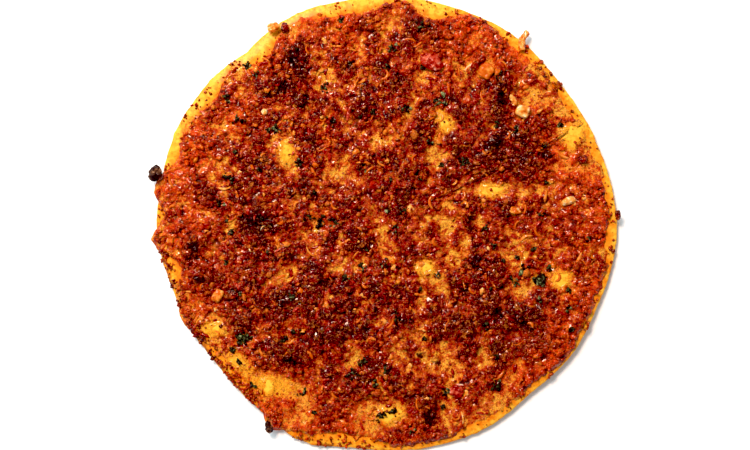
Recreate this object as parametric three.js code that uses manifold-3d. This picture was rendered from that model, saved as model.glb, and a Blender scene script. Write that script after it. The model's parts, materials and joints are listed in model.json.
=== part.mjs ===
// Lahmacun: a thin round flatbread baked with a spread of spiced mince, onion and tomato.
//
// The bread is one solid, the mince spread is one solid that lies on it with holes where the bread
// shows through, and each larger bit of onion, tomato, parsley or charred crust is a solid of its own.
// Units are millimetres, +Z is up, and the origin is at the centre of the underside.
import * as THREE from "three";
import { mergeVertices } from "three/addons/utils/BufferGeometryUtils.js";
import Module from "manifold-3d";

const wasm = await Module();
wasm.setup();

// Driving dimensions.
const RADIUS = 100.9; // mean radius of the bread
const BREAD_DEPTH = 2.6; // thickness of the bread
const MINCE_DEPTH = 2.1; // mean thickness of the mince spread
const SMEAR_DEPTH = 0.6; // thinnest smear of sauce and mince
const GAP = 0.3; // clearance between pieces that touch
const FLAT_SHARE = 0.68; // share of the radius that lies flat before the edge starts to lift
const LIFTED_SHARE = 1.04; // share of the radius at which the lift is complete
const TOP_SHARE = 0.985; // share of the radius at which the top turns down into the side
const BARE_EDGE = 2; // usual width of the bread's edge that the mince leaves bare
const BREAD_CELLS = 18; // cells across the bread's top
const MINCE_CELLS = 38; // cells across the mince spread's top
const HOLE_SIDES = 11; // sides of each hole in the mince spread
const LUMPINESS = 0.1; // how far waves push a lump in and out, as a share of its radius
const CORNER_ROUNDING = 0.22; // how far a diced piece's corners are drawn in
const DICE_WOBBLE = 0.06; // how uneven a diced piece's sides are
const STRIP_BOW = 0.16; // most that a cut strip bows, as a share of its length
const MERGE = 1e-4; // corners closer than this are one corner

// Each row is [direction in degrees, spread in degrees, millimetres added in that direction].
const EDGE_SWELLS = [
  [0, 12, 1.4],
  [32, 14, -0.9],
  [129, 6, -2.6],
  [154, 10, 1.2],
  [181, 8, 1.8],
  [197, 5, -1.4],
  [219, 12, -3.6],
  [249, 8, 3.4],
  [290, 12, 1.2],
  [310, 7, -1.9],
  [347, 9, 1.3],
];
const BARE_SWELLS = [
  [5, 5, 1.2],
  [28, 14, 1.0],
  [52, 5, 1.8],
  [68, 4.5, -1.2],
  [77, 5, 5.2],
  [84, 4, -1.6],
  [102, 11, 3.4],
  [126, 5, 5.8],
  [145, 7, 4.0],
  [163, 6, 3.2],
  [169.6, 4.4, -6.2],
  [177, 2, 2.0],
  [185, 4, -5.4],
  [191, 5, 4.8],
  [206, 5, -3.4],
  [218, 7, 1.4],
  [229, 5, 1.4],
  [240.6, 3.6, -4.8],
  [259, 8, 4.2],
  [299, 6, 1.4],
  [357, 5, 1.6],
];
const EDGE_LIFTS = [
  [325, 32, 2.4],
  [228, 16, 1.6],
  [20, 18, 0.9],
  [108, 26, 1.0],
];

// Each row is [x, y, half length, half width, turn in degrees, sideways] of a spot seen from above.
// Over the bare spots the bread has blistered through the mince, and over the worn ones the mince is thin.
const BARE_SPOTS = [
  [-44, 32, 6.2, 3.8, 95],
  [26, 45, 6.2, 3.4, 110],
  [47, 14.5, 7.8, 3.2, 8],
  [83, 39, 7.4, 5.2, 60],
  [78, -25, 5.4, 4.6, 70],
  [-75, -47, 4.6, 3.4, 15],
  [-66, -61, 6.2, 3, -35],
  [-52, -72, 5.2, 3.4, 80],
  [2, -85, 7.4, 4.2, 20],
  [18, -20, 4.8, 3.4, 20],
];
const WORN_SPOTS = [
  [-20, 23, 6.4, 3.8, -30],
  [-3, 38, 5, 3.6, -10],
  [-4, 2, 10, 2.6, -62],
  [1, -12, 5, 3.2, -40],
  [-70, 24, 6, 4, -20],
  [24, 30, 4.8, 3.2, -60],
  [34, 17, 5, 3.4, 50],
  [70, 15, 6, 3, 30],
  [43, 1, 5, 3, 65],
  [-69, -2, 7, 3, 55],
  [-44, -21, 6, 2.6, 8],
  [-18, -18, 7.4, 4.8, 85],
  [-11, -36, 4.4, 2.8, -40],
  [-14, -60, 5, 3.6, 50],
  [-42, -68, 6, 2.6, 5],
  [-38, -82, 6, 4, 70],
  [-9, -87, 7, 4, -30],
  [54, -15, 4.6, 3.4, 30],
  [26, -32, 3.8, 3, 0],
  [13, -35, 9, 2, 88],
  [59, -30, 5, 2.8, -50],
  [13, -54, 4.6, 3.8, 0],
  [27, -63, 8, 5.4, -30],
  [42, -62, 6.4, 4, 70],
  [56, -69, 5, 3.2, 10],
  [28, -80, 6, 4, -60],
  [-27, 66, 6, 4.4, 75],
  [-39, 85, 7, 3, 20],
  [-47, 51, 3.6, 2.8, 90],
  [-73, 44, 6, 4, 40],
  [-26, 42, 5, 3, -20],
  [-30, -5, 6, 3.6, 70],
  [31, -17, 5, 2.6, -50],
  [4, -63, 4.4, 3.6, 0],
  [65, -12, 5, 2.6, 50],
  [90, 24, 5, 4, 90],
  [36, 70, 5, 3, 70],
  [17, 60, 5, 2.8, 30],
  [66, 57, 7, 4, 0],
  [75, 38, 7, 4.4, 80],
  [28, -2, 7, 3, -30],
  [-8, -18, 5, 3, 20],
  [-24, 16, 3.8, 3, 0],
  [15, 77, 4.4, 3, 0],
  [47, -83, 8, 3, 25],
  [-66, 66, 6, 3, 45],
];
// The mince is heaped highest here, where it has browned darkest.
const MINCE_HEAPS = [
  [-42, 71, 10, 7, 20],
  [-74, 57, 6, 4, 60],
  [-5, 57, 7, 5, 0],
  [-27, 26, 6, 3.4, -10],
  [-57, 15, 5, 4, 60],
  [-54, -2, 9, 8, 0],
  [-86, -10, 5, 5, 0],
  [-81, -24, 6, 5, 0],
  [-70, -40, 8, 4.6, -20],
  [-42, -59, 11, 6, 0],
  [-28, -51, 9, 5, 60],
  [-45, -35, 5, 5, 0],
  [-18, -36, 6, 4, 0],
  [-8, -30, 5, 4, 80],
  [-38, -23, 6, 4, -60],
  [-12, -7, 8, 4, 80],
  [5, 17, 6, 5, 0],
  [31, 30, 5, 4, 0],
  [32, 50, 8, 3.6, 10],
  [49, 36, 9, 6, 30],
  [66, 30, 12, 6, 80],
  [52, 60, 10, 4, 85],
  [69, 47, 6, 4, 80],
  [18, 87, 6, 4, 0],
  [40, -14, 7, 5, 60],
  [19, -39, 11, 3.4, 88],
  [34, -34, 6, 5, 0],
  [50, -20, 6, 3.6, 80],
  [62, -43, 12, 8, -30],
  [37, -44, 8, 6, 0],
  [48, -60, 9, 5, 40],
  [12, -64, 4, 4, 0],
  [38, -77, 7, 3.6, 10],
  [18, -85, 7, 4, 80],
  [-17, -76, 6, 5, 60],
];
const HEAP_RISE = 1.3;

const GOLDEN = { color: 0xf4b73a, roughness: 0.72, metalness: 0 };
const BROWNED_MEAT = { color: 0x8c2c12, roughness: 0.55, metalness: 0 };
const SOFT_ONION = { color: 0xe9bd72, roughness: 0.4, metalness: 0 };
const RED_TOMATO = { color: 0xc4321a, roughness: 0.3, metalness: 0 };
const BAKED_HERB = { color: 0x26351a, roughness: 0.7, metalness: 0 };
const CHARRED = { color: 0x2b1810, roughness: 0.85, metalness: 0 };

const radians = THREE.MathUtils.degToRad;

/** Adds up rows of [direction, spread, amount], each a soft swell centred on its direction. */
function swells(rows, angle) {
  const degrees = THREE.MathUtils.radToDeg(angle);
  return rows.reduce((sum, [direction, spread, amount]) => {
    const apart = THREE.MathUtils.euclideanModulo(degrees - direction + 180, 360) - 180;
    return sum + amount * Math.exp(-((apart / spread) ** 2));
  }, 0);
}

/** Smooth unevenness from five crossed waves, mostly from -1 to 1, with crests about `size` mm apart. */
function unevenness(x, y, size, seed) {
  const waves = 5;
  const goldenTurn = 2.4;
  let sum = 0;
  for (let i = 0; i < waves; i++) {
    const direction = seed + i * goldenTurn;
    const steepness = (2 * Math.PI * (0.8 + 0.12 * i)) / size;
    const along = x * Math.cos(direction) + y * Math.sin(direction);
    sum += Math.sin(steepness * along + 1.7 * i * seed);
  }
  return sum / Math.sqrt(waves);
}

/** How deep a point lies in a spot: 1 at its middle, about a third at its rim, and 0 far away. */
function inSpot(x, y, [cx, cy, halfLength, halfWidth, turn]) {
  const c = Math.cos(radians(turn));
  const s = Math.sin(radians(turn));
  const along = ((x - cx) * c + (y - cy) * s) / halfLength;
  const across = ((y - cy) * c - (x - cx) * s) / halfWidth;
  return Math.exp(-(along * along + across * across));
}

function deepest(spots, x, y) {
  return Math.max(...spots.map((spot) => inSpot(x, y, spot)));
}

/** The bread's outline: a circle with soft swells and dents and a slight tremble. */
function breadEdge(angle) {
  const tremble = 0.35 * Math.sin(7 * angle + 0.4) + 0.25 * Math.sin(13 * angle + 2);
  return RADIUS + swells(EDGE_SWELLS, angle) + tremble;
}

/** The mince stops short of the bread's edge, and runs over it in a few places. */
function minceEdge(angle) {
  const tremble = 0.45 * Math.sin(17 * angle) + 0.35 * Math.sin(29 * angle + 1);
  return breadEdge(angle) - BARE_EDGE - swells(BARE_SWELLS, angle) + tremble;
}

/** The edge curls up a little beyond the part that lies flat. */
function lift(x, y) {
  const angle = Math.atan2(y, x);
  const share = Math.hypot(x, y) / breadEdge(angle);
  return swells(EDGE_LIFTS, angle) * THREE.MathUtils.smoothstep(share, FLAT_SHARE, LIFTED_SHARE);
}

function breadTop(x, y) {
  return BREAD_DEPTH + lift(x, y) + 0.12 * unevenness(x, y, 55, 1);
}

/** Thickness of the mince at a point: lumpy, heaped where it browned, thin over the worn spots. */
function minceDepth(x, y) {
  const lumps = 0.45 * unevenness(x, y, 17, 2) + 0.3 * unevenness(x, y, 9.5, 3);
  const heaped = HEAP_RISE * deepest(MINCE_HEAPS, x, y);
  const full = MINCE_DEPTH + lumps + heaped;
  const kept = 1 - Math.max(deepest(WORN_SPOTS, x, y), deepest(BARE_SPOTS, x, y));
  return Math.max(SMEAR_DEPTH, full * kept);
}

/** A point of a square from -1 to 1 carried to the unit disc, so that a square grid fills a circle. */
function onDisc(a, b) {
  return [a * Math.sqrt(1 - (b * b) / 2), b * Math.sqrt(1 - (a * a) / 2)];
}

/**
 * A closed slab: a square grid of cells spread over `edge` makes the top, and rings of
 * [share of the edge, height(x, y)] carry its border down the side and under to the middle.
 */
function slab(cells, edge, top, rings, middle) {
  const vertices = [];
  const triangles = [];
  const across = cells + 1;
  const put = (u, v, share, height) => {
    const reach = share * edge(Math.atan2(v, u));
    vertices.push(u * reach, v * reach, height(u * reach, v * reach));
  };
  for (let j = 0; j <= cells; j++)
    for (let i = 0; i <= cells; i++)
      put(...onDisc((2 * i) / cells - 1, (2 * j) / cells - 1), TOP_SHARE, top);
  for (let j = 0; j < cells; j++)
    for (let i = 0; i < cells; i++) {
      const a = j * across + i;
      const b = a + 1;
      const c = b + across;
      const d = a + across;
      const falling = i < cells / 2 === j < cells / 2; // diagonals run towards the middle
      triangles.push(...(falling ? [a, b, c, a, c, d] : [a, b, d, b, c, d]));
    }

  // The grid's own border, anticlockwise seen from above, is the first ring.
  let ring = [];
  for (let i = 0; i < cells; i++) ring.push(i);
  for (let j = 0; j < cells; j++) ring.push(j * across + cells);
  for (let i = cells; i > 0; i--) ring.push(cells * across + i);
  for (let j = cells; j > 0; j--) ring.push(j * across);
  const directions = ring.map((at) => {
    const angle = Math.atan2(vertices[3 * at + 1], vertices[3 * at]);
    return [Math.cos(angle), Math.sin(angle)];
  });
  const turns = ring.length;
  for (const [share, height] of rings) {
    const next = directions.map(([u, v]) => {
      put(u, v, share, height);
      return vertices.length / 3 - 1;
    });
    for (let k = 0; k < turns; k++) {
      const m = (k + 1) % turns;
      triangles.push(ring[k], next[k], next[m], ring[k], next[m], ring[m]);
    }
    ring = next;
  }
  vertices.push(0, 0, middle);
  const centre = vertices.length / 3 - 1;
  for (let k = 0; k < turns; k++) triangles.push(ring[k], centre, ring[(k + 1) % turns]);

  const geometry = new THREE.BufferGeometry();
  geometry.setAttribute("position", new THREE.Float32BufferAttribute(vertices, 3));
  return geometry.setIndex(triangles);
}

function breadGeometry() {
  return slab(
    BREAD_CELLS,
    breadEdge,
    breadTop,
    [
      [0.998, (x, y) => breadTop(x, y) - 0.22 * BREAD_DEPTH],
      [1, (x, y) => lift(x, y) + 0.45 * BREAD_DEPTH],
      [0.992, (x, y) => lift(x, y) + 0.12 * BREAD_DEPTH],
      [0.96, lift],
      [0.84, lift],
      [FLAT_SHARE, () => 0],
    ],
    0,
  );
}

function minceGeometry() {
  const under = (x, y) => breadTop(x, y) + GAP;
  return slab(
    MINCE_CELLS,
    minceEdge,
    (x, y) => under(x, y) + minceDepth(x, y),
    [
      [1, (x, y) => under(x, y) + 0.5 * minceDepth(x, y)],
      [0.99, under],
      [0.82, under],
      [0.55, under],
      [0.27, under],
    ],
    under(0, 0),
  );
}

/** A ragged upright plug over a spot, tall enough to cut right through the mince. */
function holeGeometry([cx, cy, halfLength, halfWidth, turn], seed) {
  const outline = new THREE.Shape();
  for (let i = 0; i < HOLE_SIDES; i++) {
    const angle = (2 * Math.PI * i) / HOLE_SIDES;
    const ragged = 0.86 + 0.14 * Math.sin(3 * angle + seed) + 0.1 * Math.sin(5 * angle + 2 * seed);
    const x = halfLength * ragged * Math.cos(angle);
    const y = halfWidth * ragged * Math.sin(angle);
    if (i === 0) outline.moveTo(x, y);
    else outline.lineTo(x, y);
  }
  const plug = new THREE.ExtrudeGeometry(outline, { depth: 5 * BREAD_DEPTH, bevelEnabled: false });
  return plug.rotateZ(radians(turn)).translate(cx, cy, 0);
}

/** An uneven lump: a sphere of 80 faces pushed in and out by waves, then stretched to its size. */
function lump(size, seed) {
  const geometry = mergeVertices(stripped(new THREE.IcosahedronGeometry(0.5, 1)), MERGE);
  const at = geometry.getAttribute("position");
  const point = new THREE.Vector3();
  for (let i = 0; i < at.count; i++) {
    point.fromBufferAttribute(at, i);
    const across = Math.sin(5 * point.x + seed) * Math.cos(6 * point.y - seed);
    const upward = Math.sin(7 * point.z + 2 * seed);
    point.multiplyScalar(1 + LUMPINESS * (across + upward)).multiply(size);
    at.setXYZ(i, point.x, point.y, point.z);
  }
  return geometry;
}

/** A diced piece: a box of eight cells with its corners drawn in, so that its sides bulge. */
function dice(size, seed) {
  const geometry = mergeVertices(stripped(new THREE.BoxGeometry(1, 1, 1, 2, 2, 2)), MERGE);
  const at = geometry.getAttribute("position");
  const point = new THREE.Vector3();
  for (let i = 0; i < at.count; i++) {
    point.fromBufferAttribute(at, i);
    const wave = Math.sin(4 * point.x + seed) + Math.cos(5 * point.y + 2 * seed);
    const drawnIn = 1 - CORNER_ROUNDING * point.lengthSq();
    point.multiplyScalar(drawnIn * (1 + DICE_WOBBLE * wave)).multiply(size);
    at.setXYZ(i, point.x, point.y, point.z);
  }
  return geometry;
}

/** A cut strip: a rounded oblong section drawn along a gentle bow that lies flat. */
function strip(size, seed) {
  const half = size.x / 2;
  const bow = STRIP_BOW * size.x * Math.sin(seed);
  const path = new THREE.QuadraticBezierCurve3(
    new THREE.Vector3(-half, 0, 0),
    new THREE.Vector3(0, 2 * bow, 0),
    new THREE.Vector3(half, 0, 0),
  );
  const section = new THREE.Shape().absellipse(0, 0, size.z / 2, size.y / 2, 0, 2 * Math.PI);
  const options = { extrudePath: path, steps: 4, bevelEnabled: false, curveSegments: 4 };
  return new THREE.ExtrudeGeometry(section, options);
}

// Each bit is [node name, shape, material, length, width, height, x, y, turn in degrees].
const BITS = [
  ["onion_bit_edge", lump, SOFT_ONION, 5.6, 4.8, 3.6, -49.8, 86.4, 20],
  ["mince_bit_edge", lump, BROWNED_MEAT, 3.2, 4.6, 2.6, -44.6, 86.6, 10],
  ["onion_strip_edge", strip, SOFT_ONION, 8, 2.8, 2.4, 61.6, 80.4, 74],
  ["char_crumb_left", lump, CHARRED, 5.4, 7.8, 4.2, -102, 22.2, -25],
  ["char_crumb_low", lump, CHARRED, 3, 6.2, 2.8, -51.6, -89.8, 15],
  ["mince_bead_right", lump, BROWNED_MEAT, 2.8, 4.4, 3, 102.6, 3.4, 0],
  ["mince_bead_blister", lump, BROWNED_MEAT, 4.6, 4, 2.8, 87, 28.6, 30],
  ["onion_dice_top", dice, SOFT_ONION, 5.8, 4.8, 3.8, 60.4, 49.6, -24],
  ["onion_strip_top", strip, SOFT_ONION, 4.8, 2.4, 2.4, 56, 54.2, -60],
  ["onion_dice_orange", dice, SOFT_ONION, 7, 6, 3.6, 44.6, 67.6, 62],
  ["tomato_flake_top", lump, RED_TOMATO, 11.4, 6.4, 3, 20.2, 71.4, -24],
  ["onion_strip_right", lump, SOFT_ONION, 7, 3.6, 3.2, 80.8, 9.8, 16],
  ["onion_strip_inner", lump, SOFT_ONION, 6, 3.2, 3, 57.2, 5.6, -14],
  ["onion_dice_left", dice, SOFT_ONION, 5.6, 4, 3.2, -74.4, -32, 62],
  ["tomato_bit_middle", lump, RED_TOMATO, 4.8, 3, 3, -4.6, 16.6, 12],
  ["tomato_bit_low", dice, RED_TOMATO, 6, 4.4, 3, 31.4, -74.6, -35],
  ["herb_clump_right", lump, BAKED_HERB, 6.4, 4.6, 3, 68.2, -25.2, 20],
  ["herb_clump_low", lump, BAKED_HERB, 6.2, 3.8, 3.2, -63.6, -51, 12],
];

function stripped(geometry) {
  geometry.deleteAttribute("normal");
  geometry.deleteAttribute("uv");
  return geometry;
}

function toSolid(geometry) {
  const merged = mergeVertices(stripped(geometry.clone()), MERGE);
  return new wasm.Manifold(
    new wasm.Mesh({
      numProp: 3,
      vertProperties: new Float32Array(merged.getAttribute("position").array),
      triVerts: new Uint32Array(merged.index.array),
    }),
  );
}

function toGeometry(solid) {
  const mesh = solid.getMesh();
  const geometry = new THREE.BufferGeometry();
  geometry.setAttribute("position", new THREE.BufferAttribute(mesh.vertProperties, 3));
  return geometry.setIndex(new THREE.BufferAttribute(mesh.triVerts, 1));
}

/** The bits as meshes, each just clear of the bread and half sunk in the mince. */
function makeBits() {
  return BITS.map(([name, shape, material, length, width, height, x, y, turn], seed) => {
    const geometry = shape(new THREE.Vector3(length, width, height), seed);
    const mesh = new THREE.Mesh(geometry, new THREE.MeshStandardMaterial(material));
    mesh.name = name;
    geometry.computeBoundingBox();
    mesh.position.set(x, y, breadTop(x, y) + 2 * GAP - geometry.boundingBox.min.z);
    mesh.rotation.z = radians(turn);
    mesh.updateMatrixWorld();
    return mesh;
  });
}

/** The mince spread with its holes, and with a bed of GAP all round each bit that sits in it. */
function makeMince(bits) {
  let solid = toSolid(minceGeometry());
  BARE_SPOTS.forEach((spot, seed) => {
    solid = solid.subtract(toSolid(holeGeometry(spot, seed)));
  });
  for (const bit of bits) {
    const size = bit.geometry.boundingBox.getSize(new THREE.Vector3());
    const bed = bit.geometry.clone();
    bed.scale(...size.toArray().map((side) => 1 + (2 * GAP) / side));
    solid = solid.subtract(toSolid(bed.applyMatrix4(bit.matrixWorld)));
  }
  const mesh = new THREE.Mesh(toGeometry(solid), new THREE.MeshStandardMaterial(BROWNED_MEAT));
  mesh.name = "mince_topping";
  return mesh;
}

const bread = new THREE.Mesh(breadGeometry(), new THREE.MeshStandardMaterial(GOLDEN));
bread.name = "flatbread";
const bits = makeBits();

const lahmacun = new THREE.Group();
lahmacun.add(bread, makeMince(bits), ...bits);

// The outline is not quite round, so the origin is moved to the middle of what the whole covers.
const centre = new THREE.Box3().setFromObject(lahmacun).getCenter(new THREE.Vector3());
lahmacun.position.set(-centre.x, -centre.y, 0);

export default lahmacun;
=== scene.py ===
# %% [markdown]
# # A lahmacun
#
# A lahmacun is a thin round bread, spread before baking with minced meat, onion, tomato and parsley.
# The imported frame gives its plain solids: the bread, the spread with its holes, and the larger bits.
# This script grows the real surface around them: a fine bread, a crumbly bed of mince, thousands of
# loose grains, shreds and flecks, and a finish for each. Everything rides on the frame's one body.

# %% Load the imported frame
import json

import bmesh
import bpy
import numpy as np
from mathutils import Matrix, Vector
from mathutils.bvhtree import BVHTree


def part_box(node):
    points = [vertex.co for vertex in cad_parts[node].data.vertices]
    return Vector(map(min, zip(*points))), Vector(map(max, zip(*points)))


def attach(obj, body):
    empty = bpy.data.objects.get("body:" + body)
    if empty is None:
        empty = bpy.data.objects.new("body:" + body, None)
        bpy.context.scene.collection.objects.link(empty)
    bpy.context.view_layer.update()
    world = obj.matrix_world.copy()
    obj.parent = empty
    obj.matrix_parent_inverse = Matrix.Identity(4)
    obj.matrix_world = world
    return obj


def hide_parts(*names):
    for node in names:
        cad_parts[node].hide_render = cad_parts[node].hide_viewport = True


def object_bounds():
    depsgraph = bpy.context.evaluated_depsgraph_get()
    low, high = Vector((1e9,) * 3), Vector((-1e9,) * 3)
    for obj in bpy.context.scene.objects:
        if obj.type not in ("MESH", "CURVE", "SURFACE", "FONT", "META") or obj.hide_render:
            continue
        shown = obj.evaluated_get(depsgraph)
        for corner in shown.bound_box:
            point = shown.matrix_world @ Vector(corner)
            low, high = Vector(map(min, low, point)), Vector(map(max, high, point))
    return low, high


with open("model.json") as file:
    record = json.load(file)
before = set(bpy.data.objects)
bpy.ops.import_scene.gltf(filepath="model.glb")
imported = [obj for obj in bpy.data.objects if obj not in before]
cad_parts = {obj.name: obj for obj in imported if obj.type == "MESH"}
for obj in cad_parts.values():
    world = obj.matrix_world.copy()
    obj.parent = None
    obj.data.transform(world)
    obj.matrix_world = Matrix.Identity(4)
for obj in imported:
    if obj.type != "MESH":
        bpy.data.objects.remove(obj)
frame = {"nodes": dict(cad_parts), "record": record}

cad_box = [list(corner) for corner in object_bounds()]
print("frame:", len(frame["nodes"]), "nodes, box in metres", cad_box)

# %% [markdown]
# ## Feel the solids
#
# The fine surfaces have to lie where the solids lie. One could copy their formulas, but then a change
# in one place would be forgotten in the other. Here a fine comb of vertical rays feels each solid
# instead, and keeps the heights as plain fields on a lattice, which numpy can blur and look up.
# All shapes are worked out in millimetres, and become metres when they are put into a mesh.

# %% Rays that feel the bread and the spread
MM = 0.001  # one millimetre, in metres
LATTICE = 1.0  # distance between two rays, in millimetres
MARGIN = 8  # the lattice reaches this far past the solids, in millimetres
RAY_START = 0.1  # height from which a ray starts, in metres

low_corner, high_corner = (np.array(corner) / MM for corner in cad_box)
lattice_x = np.arange(np.floor(low_corner[0]) - MARGIN, high_corner[0] + MARGIN, LATTICE)
lattice_y = np.arange(np.floor(low_corner[1]) - MARGIN, high_corner[1] + MARGIN, LATTICE)
grid_x, grid_y = np.meshgrid(lattice_x, lattice_y)


def tree_of(node):
    """The node's triangles in a search tree that answers where a ray meets them."""
    mesh = frame["nodes"][node].data
    mesh.calc_loop_triangles()
    points = np.empty(len(mesh.vertices) * 3)
    corners = np.empty(len(mesh.loop_triangles) * 3, int)
    mesh.vertices.foreach_get("co", points)
    mesh.loop_triangles.foreach_get("vertices", corners)
    return BVHTree.FromPolygons(points.reshape(-1, 3).tolist(), corners.reshape(-1, 3).tolist())


def felt(tree, x, y, side=1):
    """Height in millimetres at which a vertical ray meets the tree, from above (1) or below (-1)."""
    start = Vector((x * MM, y * MM, side * RAY_START))
    hit = tree.ray_cast(start, Vector((0, 0, -side)))[0]
    return np.nan if hit is None else hit.z / MM


def felt_field(tree, side=1):
    """The felt height at every point of the lattice, not a number where the ray passes by."""
    rows = [[felt(tree, x, y, side) for x in lattice_x] for y in lattice_y]
    return np.array(rows)


bread_tree = tree_of("flatbread")
mince_tree = tree_of("mince_topping")
bread_high = felt_field(bread_tree)
bread_low = felt_field(bread_tree, side=-1)
mince_high = felt_field(mince_tree)
print("lattice", mince_high.shape, "highest mince", round(float(np.nanmax(mince_high)), 2), "mm")

# %% Outlines, felt from outside inwards
DIRECTIONS = np.linspace(-np.pi, np.pi, 720, endpoint=False)  # half a degree apart
FEEL_STEP = 0.25  # how far the ray moves inwards each time, in millimetres


def felt_outline(tree):
    """Distance from the origin to the solid's rim in each direction."""
    reach = []
    for angle in DIRECTIONS:
        radius = high_corner[0] + MARGIN
        while np.isnan(felt(tree, radius * np.cos(angle), radius * np.sin(angle))):
            radius -= FEEL_STEP
        reach.append(radius)
    return np.array(reach)


bread_reach = felt_outline(bread_tree)
mince_reach = felt_outline(mince_tree)


def bread_rim(angle):
    return np.interp(angle, DIRECTIONS, bread_reach, period=2 * np.pi)


def mince_rim(angle):
    return np.interp(angle, DIRECTIONS, mince_reach, period=2 * np.pi)


print("bread radius", bread_reach.min(), "to", bread_reach.max(), "mm")

# %% [markdown]
# ## Fields and noises
#
# A field on the lattice is blurred with a Fourier transform, because there a blur is one multiplication.
# Three kinds of unevenness are enough for this food: smooth noise for swells, layers of it for rough
# ground, and cells for grains, where each point knows its nearest grain. All are whole-array formulas.

# %% Blur a field, fill its gaps, look it up
def blurred(field, width):
    """Gaussian blur: a wave of frequency f keeps exp(-2 (pi f width)^2) of its height."""
    fy = np.fft.fftfreq(field.shape[0], LATTICE)[:, None]
    fx = np.fft.rfftfreq(field.shape[1], LATTICE)[None, :]
    kept = np.exp(-2 * (np.pi * width) ** 2 * (fx**2 + fy**2))
    return np.fft.irfft2(np.fft.rfft2(field) * kept, field.shape)


FILL_WIDTH = 3.0  # how far a gap looks for its surroundings, in millimetres


def filled(field):
    """The field with its gaps filled: near known places by their blurred mean, far away by the whole mean."""
    known = ~np.isnan(field)
    nearness = blurred(known * 1.0, FILL_WIDTH)
    near = blurred(np.where(known, field, 0), FILL_WIDTH) / np.maximum(nearness, 1e-6)
    weight = np.clip(nearness * 50, 0, 1)
    return np.where(known, field, near * weight + np.nanmean(field) * (1 - weight))


def looked_up(field, x, y):
    """The field between lattice points: a weighted mean of the four points round each place."""
    i = np.clip((x - lattice_x[0]) / LATTICE, 0, len(lattice_x) - 1.001)
    j = np.clip((y - lattice_y[0]) / LATTICE, 0, len(lattice_y) - 1.001)
    i0, j0 = i.astype(int), j.astype(int)
    u, v = i - i0, j - j0
    lower = field[j0, i0] * (1 - u) + field[j0, i0 + 1] * u
    upper = field[j0 + 1, i0] * (1 - u) + field[j0 + 1, i0 + 1] * u
    return lower * (1 - v) + upper * v


# %% Smooth noise and its layers
def smoothstep(x, start, end):
    """0 before start, 1 after end, and 3t^2 - 2t^3 between."""
    t = np.clip((x - start) / (end - start), 0, 1)
    return t * t * (3 - 2 * t)


def scrambled(i, j, seed):
    """A fixed number from 0 to 1 for each whole-number place: its bits, times large odd numbers, folded."""
    h = (i.astype(np.int64) * 374761393 + j.astype(np.int64) * 668265263 + seed * 974634777) & 0xFFFFFFFF
    h = ((h ^ (h >> 13)) * 1274126177) & 0xFFFFFFFF
    return (h ^ (h >> 16)) / 0xFFFFFFFF


def swell(x, y, size, seed):
    """Smooth noise from -1 to 1: random heights `size` apart, joined by smooth steps."""
    i, j = np.floor(x / size), np.floor(y / size)
    u, v = smoothstep(x / size - i, 0, 1), smoothstep(y / size - j, 0, 1)
    lower = scrambled(i, j, seed) * (1 - u) + scrambled(i + 1, j, seed) * u
    upper = scrambled(i, j + 1, seed) * (1 - u) + scrambled(i + 1, j + 1, seed) * u
    return 2 * (lower * (1 - v) + upper * v) - 1


def rough(x, y, size, seed, layers=3):
    """Layers of smooth noise, each half as wide and half as high as the last, turned by a radian.

    The sum is divided by 1.6, which brings three layers back to about -1 to 1."""
    total = 0
    for layer in range(layers):
        c, s = np.cos(layer), np.sin(layer)
        total = total + swell(x * c - y * s, x * s + y * c, size / 2**layer, seed + layer) / 2**layer
    return total / 1.6


sample = rough(grid_x, grid_y, 9, 11)
print("rough noise runs from", sample.min().round(2), "to", sample.max().round(2))


# %% Cells for grains
def grains(x, y, size, seed):
    """Distance to the nearest grain in units of `size`, and two fixed random numbers of that grain.

    Each square of side `size` holds one grain at a random place, so that only nine are compared."""
    i, j = np.floor(x / size), np.floor(y / size)
    nearest = np.full(x.shape, 9.0)
    tone = np.zeros(x.shape)
    bulk = np.zeros(x.shape)
    for di in (-1, 0, 1):
        for dj in (-1, 0, 1):
            gi, gj = i + di, j + dj
            gx = gi + 0.15 + 0.7 * scrambled(gi, gj, seed)
            gy = gj + 0.15 + 0.7 * scrambled(gi, gj, seed + 1)
            apart = np.hypot(x / size - gx, y / size - gy)
            closer = apart < nearest
            nearest = np.where(closer, apart, nearest)
            tone = np.where(closer, scrambled(gi, gj, seed + 2), tone)
            bulk = np.where(closer, scrambled(gi, gj, seed + 3), bulk)
    return nearest, tone, bulk


sample = grains(grid_x, grid_y, 2, 41)[0]
print("the nearest of grains 2 mm apart is on average", (2 * sample.mean()).round(2), "mm away")

# %% [markdown]
# ## Where the mince lies, and how thick
#
# The colour and the relief of the whole surface follow one thing: how much mince lies on the bread.
# Where it is heaped it browns dark. Where it is smeared thin, orange oil and bread show through, and
# where it has a hole, the bread has blistered up, bright yellow. The solids tell most of this. Three
# places wiped nearly bare and the burnt ones are too faint for a solid, so they are short lists of spots.

# %% Thickness, bare places and blisters
BLISTER = 1.3  # how far bread rises in a bare place, in millimetres

covered = ~np.isnan(mince_high)
under_rim = np.hypot(grid_x, grid_y) < mince_rim(np.arctan2(grid_y, grid_x))
bread_top_field = blurred(filled(bread_high), 1.0)
bread_low_field = np.maximum(blurred(filled(bread_low), 1.0), 0)
felt_depth = np.where(covered, mince_high - bread_top_field, 0)
mince_depth_field = blurred(filled(np.where(under_rim, felt_depth, np.nan)), 0.9)
bare_field = blurred((under_rim & ~covered) * 1.0, 1.6)
blister_field = np.clip(1.5 * bare_field, 0, 1)
print("bare share inside the rim", round(float((under_rim & ~covered).sum() / under_rim.sum()), 3))


def bread_top(x, y):
    """Top of the bread: the felt height, small swells of baked dough, and blisters where it is bare."""
    dough = 0.22 * rough(x, y, 9, 11) + 0.07 * rough(x, y, 2.4, 12)
    blister = BLISTER * looked_up(blister_field, x, y)
    return looked_up(bread_top_field, x, y) + dough + blister


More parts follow.
